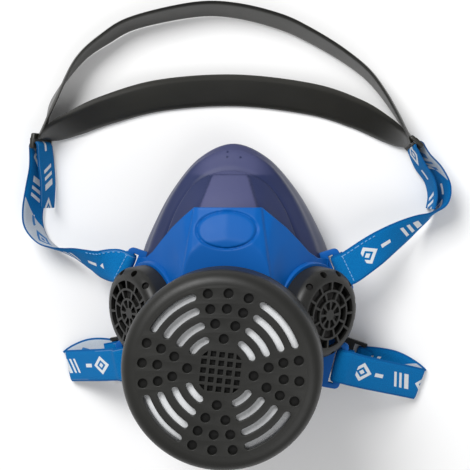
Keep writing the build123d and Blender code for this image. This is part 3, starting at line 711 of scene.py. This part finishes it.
def make_shell():
    """Thin formed sheet over the rubber's front, between its top edge and a lower edge."""
    across = np.linspace(-SHELL_HALF, SHELL_HALF, 229)
    edge_x = np.array([p[0] for p in SHELL_TOP])
    edge_y = np.array([p[1] for p in SHELL_TOP])
    share = np.linspace(0, 1, 226)
    top_edge = np.interp(np.abs(across), edge_x, edge_y)
    low_edge = -31.0 + 17.0 * (np.abs(across) / SHELL_HALF) ** 3
    points = np.stack([np.repeat(across[:, None], len(share), axis=1),
                       low_edge[:, None] + (top_edge - low_edge)[:, None] * share[None, :]], axis=2)
    grow = SHELL_THICKNESS + 0.3
    heights = dome_height(points[:, :, 0], points[:, :, 1], grow)
    for _ in range(14):  # passes that round the form's edges
        padded = np.pad(heights, 1, mode="edge")
        heights = (padded[:-2, 1:-1] + padded[2:, 1:-1] + padded[1:-1, :-2] + padded[1:-1, 2:]
                   + 4 * heights) / 8
    heights = heights + grow
    x = points[:, :, 0]
    y = points[:, :, 1]
    # middle panel, widening towards the filter, stands proud of the shoulders
    half = SHELL_FLAT + (SHELL_TOP_Y - y) * 0.15
    heights = heights + 1.3 * step(half - np.abs(x), -0.5, 0.5)
    # blank oval badge: a sunk line round a slightly raised field
    oval = np.hypot(x / BADGE_HALF[0], (y - BADGE_Y) / BADGE_HALF[1])
    heights = heights - 0.9 * np.exp(-((oval - 1.0) / 0.055) ** 2) + 0.15 * step(0.95 - oval, -0.05, 0.05)
    count_x, count_y = x.shape
    top = list(zip(x.ravel(), y.ravel(), heights.ravel()))
    bottom = [(a, b, c - SHELL_THICKNESS) for a, b, c in top]
    faces = []
    offset = count_x * count_y
    for i in range(count_x - 1):
        for j in range(count_y - 1):
            a = i * count_y + j
            faces.append((a, a + 1, a + count_y + 1, a + count_y))
            faces.append(tuple(offset + v for v in (a, a + count_y, a + count_y + 1, a + 1)))
    rim = [i * count_y for i in range(count_x)]
    rim += [(count_x - 1) * count_y + j for j in range(1, count_y)]
    rim += [i * count_y + count_y - 1 for i in range(count_x - 2, -1, -1)]
    rim += [j for j in range(count_y - 2, 0, -1)]
    for k, a in enumerate(rim):
        b = rim[(k + 1) % len(rim)]
        faces.append((a, b, offset + b, offset + a))
    sheet = new_object("shell_sheet", top + bottom, faces, SHELL_BLUE)
    return bevel(sheet, 0.5, 2, 60)


def lug_matrix(bar, turn, side):
    """Frame at the middle of a lug bar, its Y along the bar."""
    place = Matrix.Translation(Vector((side * bar[0], bar[1], bar[2])))
    return place @ Matrix.Rotation(math.radians(side * turn), 4, "Z")


def make_lug(bar, turn, side):
    """Rounded plate with a strap slot behind a round bar, reaching depth into the shell."""
    depth = 19.0
    half = WEB_WIDTH / 2 + 0.7
    wide = half + 2.5
    outer = 2.2
    r = 2.5
    outside = arc(outer - r, wide - r, r, 0, 90, 6) + [(-depth, wide + 1.5), (-depth, -wide - 1.5)]
    outside += arc(outer - r, -wide + r, r, -90, 0, 6)
    slot = [(-BAR_RADIUS - 1.9, -half), (-BAR_RADIUS + 0.3, -half), (-BAR_RADIUS + 0.3, half),
            (-BAR_RADIUS - 1.9, half)]
    if side < 0:
        outside = [(-x, y) for x, y in outside]
        slot = [(-x, y) for x, y in slot]
    return plate("lug", [outside, slot], -1.6, 1.6, 0.5, SHELL_BLUE, lug_matrix(bar, turn, side))


shell = make_shell()
cutters = [tube_cutter(side, -34, -12, SEAT_TUBE_RADIUS) for side in (-1, 1)]
cutters += [tube_cutter(side, -11.8, 14, COVER_RADIUS + 0.5) for side in (-1, 1)]
cutters.append(lathe("cutter", [(0, 50), (NECK_RADIUS, 50), (NECK_RADIUS, 80), (0, 80)], RUBBER))
cut(shell, cutters)
pieces_of_shell = [shell]
for side in (-1, 1):
    boss = [(SEAT_TUBE_RADIUS, -22.5), (COVER_RADIUS + 1.2, -22.5), (COVER_RADIUS + 1.6, -12.6),
            (COVER_RADIUS + 1.1, -11.8), (SEAT_TUBE_RADIUS, -11.8)]
    pieces_of_shell.append(lathe("boss", boss, SHELL_BLUE, valve_matrix(side), 80))
    pieces_of_shell.append(make_lug(UPPER_BAR, UPPER_BAR_TURN, side))
    pieces_of_shell.append(make_lug(LOWER_BAR, LOWER_BAR_TURN, side))
shell = join("front_shell_body", pieces_of_shell)
smooth_by_angle(shell, 40)
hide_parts("front_shell")
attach(shell, "mask")


# ---- filter cap
def sector(low, high, start, stop, count=10):
    """A slot with round ends along an arc, as an outline."""
    middle = (low + high) / 2
    r = (high - low) / 2
    points = arc(0, 0, high, start, stop, count)
    cx, cy = middle * math.cos(math.radians(stop)), middle * math.sin(math.radians(stop))
    points += arc(cx, cy, r, stop, stop + 180, 8)[1:-1]
    points += arc(0, 0, low, stop, start, count)
    cx, cy = middle * math.cos(math.radians(start)), middle * math.sin(math.radians(start))
    points += arc(cx, cy, r, start - 180, start, 8)[1:-1]
    return points


SLOT_HALF = 1.6
HOLE_RADIUS = 2.1


def make_cap():
    """Cap: a pierced face plate inside a turned shoulder and skirt."""
    flat = CAP_RADIUS - CAP_ROUND
    slots = []
    holes = []
    for group in range(4):
        middle = 45 + 90 * group + PATTERN_TURN
        for radius, span in ((14.9, 27.5), (21.3, 32.6), (27.9, 34.0), (34.1, 37.0)):
            slots.append(sector(radius - SLOT_HALF, radius + SLOT_HALF, middle - span / 2, middle + span / 2))
        for radius, angles in ((34.1, (-15, 0, 15)), (27.4, (-15, 0, 15)), (20.9, (-12, 12)), (14.4, (0,))):
            for angle in angles:
                turn = math.radians(90 * group + PATTERN_TURN + angle)
                holes.append(arc(radius * math.cos(turn), radius * math.sin(turn), HOLE_RADIUS, 0, 345, 23))
    turn = Matrix.Rotation(math.radians(PATTERN_TURN), 2)
    pitch, cell, grid = 3.75, 2.3, 10.5
    for i in range(-2, 3):
        for j in range(-2, 3):
            corners = []
            for dx, dy in ((-1, -1), (1, -1), (1, 1), (-1, 1)):
                x = i * pitch + dx * cell / 2
                y = j * pitch + dy * cell / 2
                reach = math.hypot(x, y)
                if reach > grid:
                    x, y = x * grid / reach, y * grid / reach
                corners.append(tuple(turn @ Vector((x, y))))
            holes.append(corners)
    edge = arc(0, 0, flat + 0.2, 0, 357, 119)
    face = plate("cap_face", [edge] + slots + holes, CAP_FRONT_Z - 2.0, CAP_FRONT_Z, 0.28, BLACK)
    # the floor behind the face's holes is darker than the cap's black: painted shade in the recesses
    floor_plate = plate("cap_floor", [edge] + slots, CAP_FRONT_Z - CAP_WALL, CAP_FRONT_Z - 1.9, 0.1,
                        PIT_PAINTED_SHADE)
    rim = [(flat - 0.1, CAP_FRONT_Z)]
    rim += arc(flat, CAP_FRONT_Z - CAP_ROUND, CAP_ROUND, 88, 0, 12)
    rim += [(CAP_RADIUS, CAP_BACK_Z + 3.4), (CAP_RADIUS - 0.35, CAP_BACK_Z + 3.0),
            (CAP_RADIUS - 0.35, CAP_BACK_Z + 2.3), (CAP_RADIUS, CAP_BACK_Z + 1.9),
            (CAP_RADIUS, CAP_BACK_Z + 0.5), (CAP_RADIUS - 0.5, CAP_BACK_Z),
            (CAP_RADIUS - 3.4, CAP_BACK_Z), (CAP_RADIUS - 3.6, CAP_BACK_Z + 2.0),
            (CAP_RADIUS - CAP_WALL, CAP_BACK_Z + 2.4), (CAP_RADIUS - CAP_WALL, CAP_FRONT_Z - CAP_ROUND)]
    rim += arc(flat, CAP_FRONT_Z - CAP_ROUND, CAP_ROUND - CAP_WALL, 0, 88, 8)
    rim += [(flat - 0.1, CAP_FRONT_Z - CAP_WALL)]
    shoulder = lathe("cap_shoulder", rim, BLACK, None, 160)
    return join("filter_cap_body", [face, floor_plate, shoulder])


cap = smooth_by_angle(make_cap(), 40)
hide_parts("filter_cap")
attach(cap, "cap")


# ---- dust pad
def make_pad():
    """Felted disc: a crowned, uneven top over a flat back, with a soft rolled rim."""
    radius, low, high = 35.6, 88.7, 91.25
    rings, spokes = 44, 150
    angles = [2 * math.pi * k / spokes for k in range(spokes)]
    verts = [(0, 0, high - 0.15)]
    for i in range(1, rings + 1):
        share = i / rings
        for angle in angles:
            x = radius * share * math.cos(angle)
            y = radius * share * math.sin(angle)
            fluff = noise.noise(Vector((x, y, 3.0)) * 0.55) + 0.5 * noise.noise(Vector((x, y, 9.0)) * 1.6)
            roll = max(0.0, (share - 0.94) / 0.06)
            verts.append((x, y, high - 0.15 + 0.13 * fluff - 1.1 * roll**2))
    faces = [(0, 1 + k, 1 + (k + 1) % spokes) for k in range(spokes)]
    for i in range(rings - 1):
        for k in range(spokes):
            n = (k + 1) % spokes
            a, b = 1 + i * spokes, 1 + (i + 1) * spokes
            faces.append((a + k, b + k, b + n, a + n))
    rim = 1 + (rings - 1) * spokes
    back = len(verts)
    for angle in angles:
        verts.append(((radius - 0.5) * math.cos(angle), (radius - 0.5) * math.sin(angle), low))
    for k in range(spokes):
        n = (k + 1) % spokes
        faces.append((rim + k, back + k, back + n, rim + n))
    faces.append(tuple(back + k for k in reversed(range(spokes))))
    return new_object("dust_pad_felt", verts, faces, MEDIA)


pad = make_pad()
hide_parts("dust_pad")
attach(pad, "pad_carrier_body")


# ---- ribbons
def refine(route):
    """Route points and width directions on a smooth curve, about 1 mm apart."""
    fine = []
    last = len(route) - 1
    for i in range(last):
        rows = [route[max(i - 1, 0)], route[i], route[i + 1], route[min(i + 2, last)]]
        points = [np.array(r[0]) for r in rows]
        sides = [np.array(r[1]) for r in rows]
        count = max(1, int(np.linalg.norm(points[2] - points[1])))
        for k in range(count):
            t = k / count
            fine.append((Vector(catmull(*points, t)), Vector(catmull(*sides, t)).normalized()))
    fine.append((Vector(route[-1][0]), Vector(route[-1][1]).normalized()))
    return fine


PLAIN_LENGTH = 24.0  # the sewn loop at a strap's start has no motif


def sew(name, fine, lengths, width, thickness, front, start, stop):
    """A row of stitches along a strap's upper edge and one row across it."""
    spots = []
    travel = start
    while travel < stop:
        spots.append((travel, width / 2 - 1.6, True))
        travel += 2.1
    across = -width / 2 + 2.2
    while across < width / 2 - 2.0:
        spots.append((start, across, False))
        across += 1.9
    verts = []
    faces = []
    for travel, place, lengthwise in spots:
        i = min(int(np.searchsorted(lengths, travel)), len(fine) - 2)
        point, side = fine[i]
        ahead = (fine[i + 1][0] - fine[i - 1][0]).normalized()
        side = (side - ahead * side.dot(ahead)).normalized()
        normal = ahead.cross(side)
        middle = point + side * place + normal * (front * (thickness / 2 + 0.02))
        ring, quads = capsule(middle, ahead if lengthwise else side, 0.22, 0.72)
        faces += [tuple(len(verts) + v for v in quad) for quad in quads]
        verts += ring
    return new_object(name, verts, faces, THREAD)


def ribbon(name, route, width, thickness, material, front=1, edge=0.0, phase=0.0, stitches=None):
    """A strap along a route, with rounded edges.

    front says which face is the good one, edge is the height of a bead along both edges, phase
    shifts the woven motif along the strap, and stitches are where the sewing starts and stops.
    """
    columns = 10
    fine = refine(route)
    profile = []
    for side in (1, -1):
        for k in range(columns + 1):
            v = -1 + 2 * k / columns
            v = math.sin(v * math.pi / 2) * 0.25 + v * 0.75
            depth = (1 - abs(v) ** 10) * thickness / 2 + edge * math.exp(-((abs(v) - 0.9) / 0.07) ** 2)
            profile.append((side * v * width / 2, side * depth, side))
    # the two faces share their edge points
    keep = []
    for p in profile:
        if not keep or math.dist(p[:2], keep[-1][:2]) > 1e-4:
            keep.append(p)
    if math.dist(keep[0][:2], keep[-1][:2]) < 1e-4:
        keep.pop()
    verts = []
    lengths = []
    travelled = 0.0
    for i, (point, across) in enumerate(fine):
        before = fine[max(i - 1, 0)][0]
        after = fine[min(i + 1, len(fine) - 1)][0]
        ahead = (after - before).normalized()
        across = (across - ahead * across.dot(ahead)).normalized()
        normal = ahead.cross(across)
        if i:
            travelled += (point - before).length
        lengths.append(travelled)
        for a, n, _ in keep:
            verts.append(point + across * a + normal * n)
    ring = len(keep)
    faces = ring_faces(len(fine), ring)
    faces.append(tuple(range(ring)))
    faces.append(tuple((len(fine) - 1) * ring + k for k in reversed(range(ring))))
    obj = new_object(name, verts, faces, material)
    mesh = obj.data
    layer = mesh.uv_layers.new(name="strap")
    for loop in mesh.loops:
        i, k = divmod(loop.vertex_index, ring)
        layer.data[loop.index].uv = (lengths[i] + phase, keep[k][0] * front)
    woven = mesh.attributes.new("woven", "FLOAT", "POINT")
    woven.data.foreach_set("value", [float(lengths[k // ring] > PLAIN_LENGTH) for k in range(len(verts))])
    shown = mesh.attributes.new("front", "FLOAT", "POINT")
    shown.data.foreach_set("value", [float(keep[k % ring][2] * front > 0) for k in range(len(verts))])
    smooth_by_angle(obj, 60)
    if stitches:
        sewn = sew(name + "_thread", fine, lengths, width, thickness, front, *stitches)
        with editing(mesh) as bm:
            start = len(bm.faces)
            bm.from_mesh(sewn.data)
            bm.faces.ensure_lookup_table()
            for face in bm.faces[start:]:
                face.material_index = 1
        mesh.materials.append(THREAD)
        bpy.data.objects.remove(sewn)
    return obj


def laid(stations, inner):
    """Route from (x, y, z, lean) rows, as in the CAD: lean 0 is flat, 90 stands on edge."""
    route = []
    for i, (x, y, z, lean) in enumerate(stations):
        before = stations[max(i - 1, 0)]
        after = stations[min(i + 1, len(stations) - 1)]
        way = Vector((after[0] - before[0], after[1] - before[1], 0)).normalized()
        side = Vector((-way.y, way.x, 0)) * inner
        angle = math.radians(lean)
        route.append((Vector((x, y, z)), side * math.cos(angle) + UP * math.sin(angle)))
    return route


def turn_round(centre, across, first, second, radius, count=10):
    """Half a loop round a bar, from first over second to the far side of first."""
    route = []
    for k in range(count + 1):
        angle = math.pi * k / count
        route.append((centre + first * (radius * math.cos(angle)) + second * (radius * math.sin(angle)),
                      across))
    return route


def lug_route(bar, turn, side, slope, tail):
    """Under ply, tail long, and loop round a lug bar, on a slope in degrees; ends on top of the bar."""
    angle = math.radians(side * turn)
    across = Vector((-math.sin(angle), math.cos(angle), 0))
    out = Vector((side * math.cos(angle), side * math.sin(angle), 0))
    fall = math.radians(slope)
    ahead = out * math.cos(fall) - UP * math.sin(fall)
    normal = out * math.sin(fall) + UP * math.cos(fall)
    centre = Vector((side * bar[0], bar[1], bar[2]))
    loop = [(centre + ahead * tail - normal * LOOP_RADIUS, across)]
    loop += turn_round(centre, across, -normal, -ahead, LOOP_RADIUS)
    return loop, ahead, normal, centre, across


# Rows of x, y, z and lean, for the left (1) and the right (-1) strap.
UPPER_ROUTE = {
    1: ((66.0, 47.2, 23.5, 14), (76.0, 53.6, 18.5, 36), (86.5, 59.6, 13.4, 58), (95.0, 64.6, 10.2, 82),
        (100.4, 70.8, 9.0, 106), (100.6, 78.0, 8.6, 116), (97.2, 85.8, 8.6, 114), (92.0, 92.3, 8.8, 110)),
    -1: ((-64.3, 40.2, 23.0, 34), (-72.0, 42.3, 18.5, 54), (-80.0, 44.8, 14.0, 70),
         (-90.0, 47.6, 10.8, 86), (-96.8, 51.8, 9.4, 101), (-101.0, 59.0, 8.8, 114),
         (-101.4, 66.5, 8.6, 118), (-99.8, 77.0, 8.4, 118), (-98.6, 88.0, 8.8, 110)),
}
# Middle of the bar in the cradle's end, the way the strap reaches it, and its lean.
CRADLE_BAR = {
    1: (Vector((87.6, 96.6, 9.6)), Vector((-0.72, 0.69, 0)), 106),
    -1: (Vector((-96.9, 98.0, 9.6)), Vector((0.05, 1.0, 0)), 106),
}
CRADLE_LOOP = 1.2 + 0.3 + WEB_THICKNESS / 2
TAIL = {
    1: ((89.6, 88.2, 9.2, 108), (94.0, 81.5, 9.0, 106), (95.6, 74.0, 9.0, 104), (94.6, 67.6, 9.2, 102)),
    -1: ((-94.4, 90.0, 9.2, 108), (-93.6, 79.0, 9.0, 106), (-94.0, 67.5, 9.0, 104)),
}
WORD = {1: "left", -1: "right"}

for side in (1, -1):
    loop, ahead, normal, centre, across = lug_route(UPPER_BAR, UPPER_BAR_TURN, side, 20, 4.5)
    middle, way, lean = CRADLE_BAR[side]
    sideways = Vector((-way.y, way.x, 0)) * side
    bar_across = sideways * math.cos(math.radians(lean)) + UP * math.sin(math.radians(lean))
    inward = bar_across.cross(way)
    if inward.x * side > 0:
        inward = -inward
    route = loop + [(centre + normal * LOOP_RADIUS + ahead * 4.0, across)]
    route += laid(UPPER_ROUTE[side], side)
    route += turn_round(middle, bar_across, -inward, way, CRADLE_LOOP)
    route += laid(TAIL[side], -side)
    strap = ribbon(f"upper_webbing_{WORD[side]}", route, WEB_WIDTH, WEB_THICKNESS, WEBBING, side,
                   phase=0.0 if side > 0 else 49.0, stitches=(13.5, 34.0))
    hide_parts(f"upper_strap_{WORD[side]}", f"upper_lug_loop_{WORD[side]}")
    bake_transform(strap)

# ---- lower straps
# Distance out from the lug bar and height above it.
LOWER_ROUTE = (
    (7.0, -2.6), (14.0, -8.0), (21.0, -14.2), (28.0, -20.8), (35.0, -27.2), (39.0, -30.6),
    (40.3, -32.4), (39.0, -33.7), (34.0, -33.8), (26.0, -33.8), (18.0, -33.8), (11.0, -33.8),
)
LOWER_REACH = {1: 1.03, -1: 0.86}
LOWER_AIM = {1: -19.0, -1: -11.0}
CLIP_BAR = (9.5, -31.9)
BACK_BOW = 3.5

for side in (1, -1):
    loop, ahead, normal, centre, across = lug_route(LOWER_BAR, LOWER_BAR_TURN, side, 25, 7.0)
    aim = math.radians(LOWER_AIM[side])
    out = Vector((side * math.cos(aim), math.sin(aim), 0))
    square = Vector((-out.y, out.x, 0)) * side
    ply = []
    for r, z in LOWER_ROUTE:
        # the returning ply bows a little towards the nose
        bow = BACK_BOW * math.sin(math.pi * (r - 11) / 29) if z < -33.7 else 0.0
        ply.append((centre + out * (r * LOWER_REACH[side]) + UP * z + square * bow, square))
    clip_centre = centre + out * CLIP_BAR[0] + UP * CLIP_BAR[1]
    route = loop + [(centre + normal * LOOP_RADIUS + ahead * 3.0, across)] + ply[:-1]
    route += turn_round(clip_centre, square, -UP, -out, 1.9)
    route += [(clip_centre + out * 5.0 + UP * 2.0, square)]
    strap = ribbon(f"lower_webbing_{WORD[side]}", route, WEB_WIDTH, WEB_THICKNESS, WEBBING, side,
                   phase=42.0 if side > 0 else 38.0)
    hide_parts(f"lower_strap_{WORD[side]}")
    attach(strap, f"neck_strap_{WORD[side]}")

# ---- head cradle
# Rows of x, y and lean.
LOWER_STRIP = (
    (-96.0, 101.9, 88), (-90.6, 105.0, 62), (-80.0, 109.6, 47), (-64.1, 116.1, 36), (-37.2, 123.2, 28),
    (-0.5, 125.4, 27), (36.2, 121.0, 28), (58.2, 113.9, 34), (72.0, 106.6, 46), (80.4, 101.6, 62),
    (85.0, 99.2, 88),
)
UPPER_STRIP = (
    (-97.4, 102.2, 98), (-94.2, 109.6, 100), (-90.0, 121.0, 108), (-77.8, 140.1, 90),
    (-64.1, 151.1, 80), (-49.4, 158.7, 76), (-20.1, 164.6, 72), (0.0, 163.9, 70), (21.5, 158.4, 69),
    (36.2, 151.6, 71), (50.8, 142.9, 74), (63.1, 133.5, 78), (71.4, 123.6, 83), (78.2, 113.0, 88),
    (82.8, 105.0, 93), (86.0, 100.0, 100),
)


def standing(rows):
    """Adds the height at which a leaning strip rests on its lower edge, half a millimetre up."""
    result = []
    for x, y, lean in rows:
        angle = math.radians(lean)
        rise = abs(math.sin(angle)) * STRIP_WIDTH / 2 + STRIP_THICKNESS / 2 * abs(math.cos(angle))
        result.append((x, y, 0.5 + rise, lean))
    return result


for name, rows in (("lower", LOWER_STRIP), ("upper", UPPER_STRIP)):
    strip = ribbon(f"cradle_{name}_band", laid(standing(rows), 1), STRIP_WIDTH, STRIP_THICKNESS, STRIP,
                   edge=0.18)
    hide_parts(f"cradle_{name}_strip")
    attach(strip, "head_harness")

# ---- slotted ends of the cradle
for side in (1, -1):
    middle, way, lean = CRADLE_BAR[side]
    sideways = Vector((-way.y, way.x, 0)) * side
    way = way.normalized()
    bar_across = (sideways.normalized() * math.cos(math.radians(lean))
                  + UP * math.sin(math.radians(lean)))
    frame_matrix = Matrix((way, bar_across, way.cross(bar_across))).transposed().to_4x4()
    frame_matrix.translation = middle
    r, near, far, tall = 1.1, -1.2, 6.4, 9.6
    outside = arc(near + r, tall - r, r, 180, 90, 5) + arc(far - r, tall - 1.0 - r, r, 90, 0, 5)
    outside += arc(far - r, -tall + 1.0 + r, r, 0, -90, 5) + arc(near + r, -tall + r, r, -90, -180, 5)
    slot = [(1.1, -8.4), (3.4, -8.4), (3.4, 8.4), (1.1, 8.4)]
    end = plate(f"cradle_end_{WORD[side]}", [outside, slot], -1.1, 1.1, 0.55, STRIP, frame_matrix)
    smooth_by_angle(end, 40)
    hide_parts(f"cradle_buckle_{WORD[side]}")
    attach(end, "head_harness")

# ---- materials of the CAD nodes
NODE_MATERIAL = {
    "filter_housing": BLACK, "housing_gasket": VALVE_RUBBER, "housing_nut": GREY, "nut_washer": GREY,
    "cartridge_seal": VALVE_RUBBER, "filter_cartridge": MEDIA, "inhalation_flap": VALVE_RUBBER,
    "pad_carrier": GREY, "neck_clip_hook": BLACK, "neck_clip_eye": BLACK,
    "exhalation_seat_left": BLACK_COVER, "exhalation_seat_right": BLACK_COVER,
    "exhalation_flap_left": FLAP_RUBBER, "exhalation_flap_right": FLAP_RUBBER,
    "exhalation_cover_left": BLACK_COVER, "exhalation_cover_right": BLACK_COVER,
}
for node, material in NODE_MATERIAL.items():
    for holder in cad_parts[node].material_slots:
        holder.material = material

# ---- floor, light, camera
floor_shader = Shader("floor")
floor_tone = floor_shader.noise(floor_shader.place(), 3.0, 2.0)
floor_shader.colour(floor_shader.ramp(floor_tone, (0.3, (0.86, 0.86, 0.86)), (0.7, (0.88, 0.88, 0.88))))
floor_shader.set(Roughness=0.9)
FLOOR_HALF = 2500.0
FLOOR_Z = -0.05
corners = [(a * FLOOR_HALF, b * FLOOR_HALF, FLOOR_Z) for a, b in ((-1, -1), (1, -1), (1, 1), (-1, 1))]
floor = new_object("floor", corners, [(0, 1, 2, 3)], floor_shader.material)

world = bpy.data.worlds.new("studio")
world.use_nodes = True
background = world.node_tree.nodes["Background"]
background.inputs["Color"].default_value = (1.0, 1.0, 1.0, 1)
background.inputs["Strength"].default_value = 0.40
bpy.context.scene.world = world


def soft_box(name, place, aim, size, power):
    """A square area light aimed at a point, in millimetres."""
    light = bpy.data.lights.new(name, "AREA")
    light.size = size * MM
    light.energy = power
    holder = linked(name, light)
    holder.location = Vector(place) * MM
    direction = Vector(aim) - Vector(place)
    holder.rotation_euler = direction.to_track_quat("-Z", "Y").to_euler()


soft_box("key", (-420, 760, 1050), (0, 40, 30), 620, 16.0)
soft_box("fill", (500, -500, 1000), (0, 40, 30), 900, 4.5)

bpy.context.scene.view_settings.view_transform = "Standard"

CAMERA_PLACE = Vector((51.1, 88.1, 650.0))
CAMERA_AIM = Vector((-1.2, 54.0, 0.0))
camera_data = bpy.data.cameras.new("camera")
camera_data.sensor_width = 36.0
camera_data.lens = 100.4
camera_data.clip_start = 0.01
camera_data.clip_end = 20.0
camera = linked("camera", camera_data)
view_way = (CAMERA_AIM - CAMERA_PLACE).normalized()
right = view_way.cross(Vector((0, 1, 0))).normalized()
above = right.cross(view_way)
pose = Matrix((right, above, -view_way)).transposed().to_4x4()
pose.translation = CAMERA_PLACE * MM
camera.matrix_world = pose
bpy.context.scene.camera = camera
